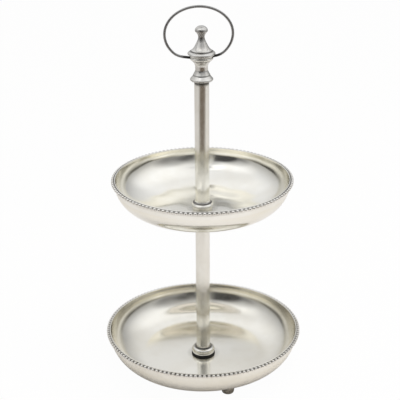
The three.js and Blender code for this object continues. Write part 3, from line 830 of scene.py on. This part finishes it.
def makeFinial():
    # disc, bell, neck and domed button, tapped for the rod
    sizes = finialSizes
    z = lowest("finial")
    disc, bell, neck, tapped = sizes["disc"], sizes["bell"], sizes["neck"], z + sizes["tapDepth"]
    belly = z + sizes["discBelly"]
    discTop = z + sizes["discHeight"]
    bellFoot = discTop + sizes["bellEdge"]
    bellTop = discTop + sizes["bellHeight"]
    flare = (sizes["flare"][0], bellFoot + sizes["flare"][1])
    throat = (sizes["throat"][0], bellTop - sizes["throat"][1])
    neckTop = z + sizes["neckHeight"]
    under = z + sizes["buttonUnder"]
    edgeFoot = under + sizes["lip"]
    edgeTop = edgeFoot + sizes["buttonEdge"]
    outline = [(0, tapped), (sizes["tapRadius"], tapped), (sizes["tapRadius"], z)]
    outline += curvePoints([(sizes["seat"], z), (disc, z), (disc, belly)], 8)
    outline += curvePoints([(disc, belly), (disc, (belly + discTop) / 2), (bell, discTop)], 12)[1:]
    outline += curvePoints([(bell, bellFoot), flare, throat, (sizes["bellTop"], bellTop)], 18)
    taper = [(sizes["bellTop"], bellTop), (neck, neckTop - sizes["neckTaper"]), (neck, neckTop)]
    outline += curvePoints(taper, 12)[1:]
    spread = [(neck, neckTop), (neck, under - sizes["buttonSpread"]), (sizes["buttonSeat"], under)]
    outline += curvePoints(spread, 12)[1:]
    outline += [(sizes["button"], edgeFoot), (sizes["button"], edgeTop)]
    outline += arcPoints((0, edgeTop), (sizes["button"], sizes["dome"]), 0, 90, 20)[1:]
    obj = turned("finial", dense(softened(outline, sizes["edge"]), fineStep))
    markPoints(obj, "recess", bands(z, sizes["grime"]))
    finish(obj, "finial", headPlate)


makeBaluster()
makePivotCollar()
makeFinial()
print("head done")


# Ring handle: an oval of round wire whose straight ends sit in the pivot collar. Its line is drawn
# upright, with the pivot at (0, 0), and then leans a little to one side.

ringSizes = {
    "wire": 1.24, "resolution": 6, "halfWidth": 32.1, "halfHeight": 26.2, "rise": 22.1, "shift": 1.2,
    "axis": 331.05, "lean": 3.5, "end": 6.4, "straight": 10.0, "stub": 10.8, "bend": 3.5,
    "lift": {-1: 0.9, 1: 0.5}, "join": 25.0, "slopeStep": 0.01, "ovalSteps": 120, "bendSteps": 20,
    "grime": 2.1, "grimeReach": 12.5, "grimeFade": 3.5, "grimeTop": 4.0,
}


def ringLine():
    sizes = ringSizes
    steps = sizes["ovalSteps"]
    reach = math.pi - math.asin(sizes["join"] / sizes["halfWidth"])

    def oval(angle):
        x = sizes["halfWidth"] * math.sin(angle) - sizes["shift"]
        return Vector((x, sizes["rise"] + sizes["halfHeight"] * math.cos(angle)))

    def bend(side):
        # from the straight end round to where the oval goes on
        join, before = oval(side * reach), oval(side * (reach - sizes["slopeStep"]))
        slope = (before.y - join.y) / (before.x - join.x)
        lift = sizes["lift"][side]
        corner = (join.x - (join.y - lift) / slope, lift)
        start = [(side * sizes["stub"], 0), (side * (sizes["stub"] + sizes["bend"]), lift)]
        return curvePoints(start + [corner, tuple(join)], sizes["bendSteps"])
    line = [(-sizes["end"], 0), (-sizes["straight"], 0)] + bend(-1)
    line += [tuple(oval(-reach + 2 * reach * i / steps)) for i in range(1, steps)]
    line += list(reversed(bend(1))) + [(sizes["straight"], 0), (sizes["end"], 0)]
    return line


def makeRing():
    sizes = ringSizes
    lean = Matrix.Rotation(-math.radians(sizes["lean"]), 3, "Y")
    pivot = Vector((0, 0, sizes["axis"]))
    obj = drawn("ringHandle", [tuple(lean @ Vector((x, 0, z)) + pivot) for x, z in ringLine()])
    bpy.ops.object.mode_set(mode="OBJECT")
    bpy.ops.object.convert(target="CURVE")
    obj.data.bevel_depth = sizes["wire"] * mm
    obj.data.bevel_resolution = sizes["resolution"]
    obj.data.use_fill_caps = True
    bpy.ops.object.convert(target="MESH")
    bpy.ops.object.mode_set(mode="EDIT")
    closeShell()

    def depthAt(x, y, z):
        # black near the holes
        near = z < sizes["axis"] + sizes["grimeTop"]
        return sizes["grime"] - (abs(x) - sizes["grimeReach"]) / sizes["grimeFade"] if near else 0
    markPoints(obj, "recess", depthAt)
    finish(obj, "ring_handle", wireMetal, body="handle")


makeRing()
print("ring done")


# Threaded rod through the stand, with its nut and washer under the lower bowl. Only the rod's lowest
# part shows, so the thread is drawn there, as rings: its profile is (radius, height) in one pitch.

rodSizes = {
    "radius": 3.0, "root": 2.55, "tip": 2.6, "chamfer": 0.5, "lead": 0.3, "threaded": 9.0, "pitch": 0.8,
    "profile": [(3.0, 0.12), (3.0, 0.26), (2.55, 0.62), (2.55, 0.74)], "runOut": 0.4, "sides": 48,
}


def makeRod():
    sizes = rodSizes
    low, high = lowest("tie_rod"), highest("tie_rod")
    radius = sizes["radius"]
    outline = [(0, low), (sizes["tip"], low)]
    z = low + sizes["lead"]
    while z < low + sizes["threaded"]:
        outline += [(across, z + height) for across, height in sizes["profile"]]
        z += sizes["pitch"]
    outline += [(radius, z + sizes["runOut"]), (radius, high - sizes["chamfer"])]
    outline += [(sizes["tip"], high), (0, high)]
    obj = turned("tieRod", outline, sizes["sides"])
    markPoints(obj, "recess", lambda x, y, z: (radius - math.hypot(x, y)) / (radius - sizes["root"]))
    finish(obj, "tie_rod", zincPlate)


nutSizes = {
    "acrossFlats": 10.0, "height": 5.0, "hole": 3.1, "chamfer": 0.6, "flatInset": 0.1,
    "holeChamfer": 0.5, "clear": 0.01, "grime": [(5.0, 0.7, 0.8)],
}


def makeNut():
    # a hexagon, trimmed to a turned shape that has the chamfers and the hole
    sizes = nutSizes
    z = lowest("base_nut")
    top = z + sizes["height"]
    corner = sizes["acrossFlats"] / 2 / math.cos(math.pi / 6)
    bpy.ops.object.select_all(action="DESELECT")
    bpy.ops.mesh.primitive_cylinder_add(vertices=6, radius=corner * mm, depth=sizes["height"] * mm)
    obj = bpy.context.object
    obj.name = "baseNut"
    obj.rotation_euler = (0, 0, math.pi / 6)
    obj.location = (0, 0, (z + sizes["height"] / 2) * mm)
    bpy.ops.object.transform_apply(location=True, rotation=True)
    hole, clear, chamfer, mouth = sizes["hole"], sizes["clear"], sizes["chamfer"], sizes["holeChamfer"]
    flat = sizes["acrossFlats"] / 2 - sizes["flatInset"]
    outside = corner + 2 * clear
    tool = turned("chamferTool", [
        (hole, z + mouth), (hole + mouth, z - clear), (flat, z - clear), (outside, z + chamfer),
        (outside, top - chamfer), (flat, top + clear), (hole + mouth, top + clear), (hole, top - mouth),
        (hole, z + mouth),
    ])
    cut(obj, tool, "INTERSECT")
    markPoints(obj, "recess", bands(z, sizes["grime"]))
    finish(obj, "base_nut", zincPlate, angle=30)


washerSizes = {"radius": 9.0, "edge": 0.3, "grime": [(0, 0.4, 0.8)]}  # grime from its top


def makeWasher():
    sizes = washerSizes
    z, top, radius = lowest("base_washer"), highest("base_washer"), sizes["radius"]
    outline = [(rodHole, z), (radius, z), (radius, top), (rodHole, top), (rodHole, z)]
    obj = turned("baseWasher", softened(outline, sizes["edge"]))
    markPoints(obj, "recess", bands(top, sizes["grime"]))
    finish(obj, "base_washer", zincPlate)


makeRod()
makeNut()
makeWasher()
print("rod, nut and washer done")


# Stage: a plain pale floor and a surround. The camera sees both as white, with a little of the floor's
# own shading, for the shadow. The metal shows the floor as it is lit, and the tent round the stand.

floorLook = {"size": 6, "colour": "#f4f0ec", "whiteToCamera": 0.97, "whiteInMetal": 0.05}
surroundLook = {"colour": "#ffffff", "light": 0.485, "seen": 1.0}


def whiteShare(tree, toCamera, inMetal):
    path = addNode(tree, "LightPath").outputs
    reflected = addNode(tree, "Math", {"operation": "MAXIMUM"}, Value_0=path["Is Glossy Ray"],
                        Value_1=path["Is Transmission Ray"])
    mirrored = addNode(tree, "Math", multiply, Value_0=reflected, Value_1=inMetal)
    seen = addNode(tree, "Math", multiply, Value_0=path["Is Camera Ray"], Value_1=toCamera)
    return addNode(tree, "Math", {"operation": "MAXIMUM"}, Value_0=seen, Value_1=mirrored)


def stageMaterial(name):
    material = bpy.data.materials.new(name)
    material.use_nodes = True
    tree = material.node_tree
    tree.nodes.remove(tree.nodes["Principled BSDF"])
    return material, tree, tree.nodes["Material Output"].inputs["Surface"]


def makeFloor(look):
    bpy.ops.object.select_all(action="DESELECT")
    bpy.ops.mesh.primitive_plane_add(size=look["size"])
    floor = bpy.context.object
    floor.name = "floor"
    material, tree, surface = stageMaterial("white floor")
    lit = addNode(tree, "BsdfDiffuse", None, Color=linear(look["colour"]))
    white = addNode(tree, "Emission", None, Color=linear("#ffffff"), Strength=1)
    share = whiteShare(tree, look["whiteToCamera"], look["whiteInMetal"])
    mixed = addNode(tree, "MixShader", None, Fac=share, Shader_0=lit, Shader_1=white)
    tree.links.new(liveOutput(mixed), surface)
    floor.data.materials.append(material)


def makeSurround(look):
    world = bpy.context.scene.world or bpy.data.worlds.new("surround")
    bpy.context.scene.world = world
    world.use_nodes = True
    tree = world.node_tree
    surround = tree.nodes["Background"].inputs
    surround["Color"].default_value = linear(look["colour"])
    strength = addNode(tree, "MapRange", None, Value=whiteShare(tree, 1, 1), ToMin=look["light"],
                       ToMax=look["seen"])
    tree.links.new(liveOutput(strength), surround["Strength"])


def reflectionOnly(obj):
    # shows in the metal, and neither lights the floor nor hides the white surround
    obj.visible_camera = False
    obj.visible_diffuse = False
    obj.visible_shadow = False


# Light tent round the stand: bright overhead, brighter at both sides, and dim in front, where it opens
# towards the camera. A patch is a direction (round from behind the stand towards +X, then up), the
# angles from it at which it starts to fade and has faded, and what it adds.
tentLook = {
    "radius": 2.6, "level": 0.15, "segments": 64, "rings": 32, "colour": "#ffffff",
    "horizon": 0.353, "zenith": 0.856, "zenithFrom": 0.75, "darkest": 0.055,
    "patches": [
        (85, 50, 8, 42, 0.186), (234, 42, 5, 34, 0.233), (345, 25, 10, 50, 0.112), (25, 14, 8, 34, -0.112),
        (188, 18, 14, 46, -0.391), (134, 26, 4, 28, -0.298), (160, 12, 4, 24, -0.093),
        (206, 16, 4, 26, -0.335), (206, 62, 2, 14, 0.372), (230, 22, 4, 26, -0.298),
    ],
}


def makeTent(look):
    bpy.ops.object.select_all(action="DESELECT")
    bpy.ops.mesh.primitive_uv_sphere_add(segments=look["segments"], ring_count=look["rings"],
                                         radius=look["radius"], location=(0, 0, look["level"]))
    tent = bpy.context.object
    tent.name = "lightTent"
    material, tree, surface = stageMaterial("tent cloth, lit from outside")
    place = addNode(tree, "TexCoord").outputs["Object"]
    direction = addNode(tree, "VectorMath", {"operation": "NORMALIZE"}, Vector=place)
    height = addNode(tree, "SeparateXYZ", None, Vector=direction).outputs["Z"]
    strength = addNode(tree, "MapRange", None, Value=height, FromMax=look["zenithFrom"],
                       ToMin=look["horizon"], ToMax=look["zenith"])
    for azimuth, elevation, inner, outer, change in look["patches"]:
        around, up = math.radians(azimuth), math.radians(elevation)
        aim = (math.sin(around) * math.cos(up), math.cos(around) * math.cos(up), math.sin(up))
        facing = addNode(tree, "VectorMath", {"operation": "DOT_PRODUCT"}, Vector_0=direction, Vector_1=aim)
        patch = addNode(tree, "MapRange", smoothStep, Value=facing,
                        FromMin=math.cos(math.radians(outer)), FromMax=math.cos(math.radians(inner)),
                        ToMin=0, ToMax=change)
        strength = addNode(tree, "Math", {"operation": "ADD"}, Value_0=strength, Value_1=patch)
    strength = addNode(tree, "Math", {"operation": "MAXIMUM"}, Value_0=strength, Value_1=look["darkest"])
    glow = addNode(tree, "Emission", None, Color=linear(look["colour"]), Strength=strength)
    tree.links.new(liveOutput(glow), surface)
    tent.data.materials.append(material)
    reflectionOnly(tent)


# Dark ground in front of the stand. Each soft edge is an axis and the places on it where the ground
# is clear and where it is dark in full.
groundLook = {
    "size": (2.9, 2.1), "middle": (0.55, -1.3, 0.004), "colour": "#70655a", "strength": 1.1,
    "edges": [("Y", -0.3, -0.65), ("X", -0.85, -0.3), ("X", 1.9, 0.9)],
}


def makeGround(look):
    bpy.ops.object.select_all(action="DESELECT")
    bpy.ops.mesh.primitive_plane_add(size=1, location=look["middle"])
    ground = bpy.context.object
    ground.name = "frontGround"
    ground.scale = (*look["size"], 1)
    bpy.ops.object.transform_apply(location=True, scale=True)
    material, tree, surface = stageMaterial("dark ground in front")
    place = addNode(tree, "TexCoord").outputs["Object"]
    axes = addNode(tree, "SeparateXYZ", None, Vector=place).outputs
    cover = 1
    for axis, clear, full in look["edges"]:
        edge = addNode(tree, "MapRange", smoothStep, Value=axes[axis], FromMin=clear, FromMax=full)
        cover = addNode(tree, "Math", multiply, Value_0=cover, Value_1=edge)
    seeThrough = addNode(tree, "BsdfTransparent")
    dark = addNode(tree, "Emission", None, Color=linear(look["colour"]), Strength=look["strength"])
    mixed = addNode(tree, "MixShader", None, Fac=cover, Shader_0=seeThrough, Shader_1=dark)
    tree.links.new(liveOutput(mixed), surface)
    ground.data.materials.append(material)
    reflectionOnly(ground)


makeFloor(floorLook)
makeSurround(surroundLook)
makeTent(tentLook)
makeGround(groundLook)
print("stage done")


# Light and camera: a large soft lamp overhead, a little to the right, and the photo's viewpoint. The
# camera's angles are radians, and its lens and sensor millimetres.

lampLook = {"size": 1.2, "place": (0.3, -0.3, 1.6), "aim": (0.1, -0.1, 0.1), "power": 14.9}
cameraLook = {
    "lens": 101.777, "sensor": 36, "place": (0.0005, -1.037, 0.6166),
    "heading": 0.00278, "dip": 0.39459, "roll": -0.00706,
}


def makeLamp(look):
    bpy.ops.object.select_all(action="DESELECT")
    bpy.ops.object.light_add(type="AREA", location=look["place"])
    lamp = bpy.context.object
    lamp.name = "overhead"
    lamp.data.shape = "SQUARE"
    lamp.data.size = look["size"]
    lamp.data.energy = look["power"]
    lamp.rotation_euler = (Vector(look["aim"]) - Vector(look["place"])).to_track_quat("-Z", "Y").to_euler()
    lamp.visible_glossy = False


def makeCamera(look):
    bpy.ops.object.select_all(action="DESELECT")
    bpy.ops.object.camera_add()
    camera = bpy.context.object
    camera.name = "camera"
    camera.data.lens = look["lens"]
    camera.data.sensor_width = look["sensor"]
    camera.matrix_world = (Matrix.Translation(look["place"])
                           @ Matrix.Rotation(look["heading"], 4, "Z")
                           @ Matrix.Rotation(math.pi / 2 - look["dip"], 4, "X")
                           @ Matrix.Rotation(look["roll"], 4, "Z"))
    bpy.context.scene.camera = camera


makeLamp(lampLook)
makeCamera(cameraLook)
bpy.context.scene.view_settings.view_transform = "Standard"
print("light and camera done")
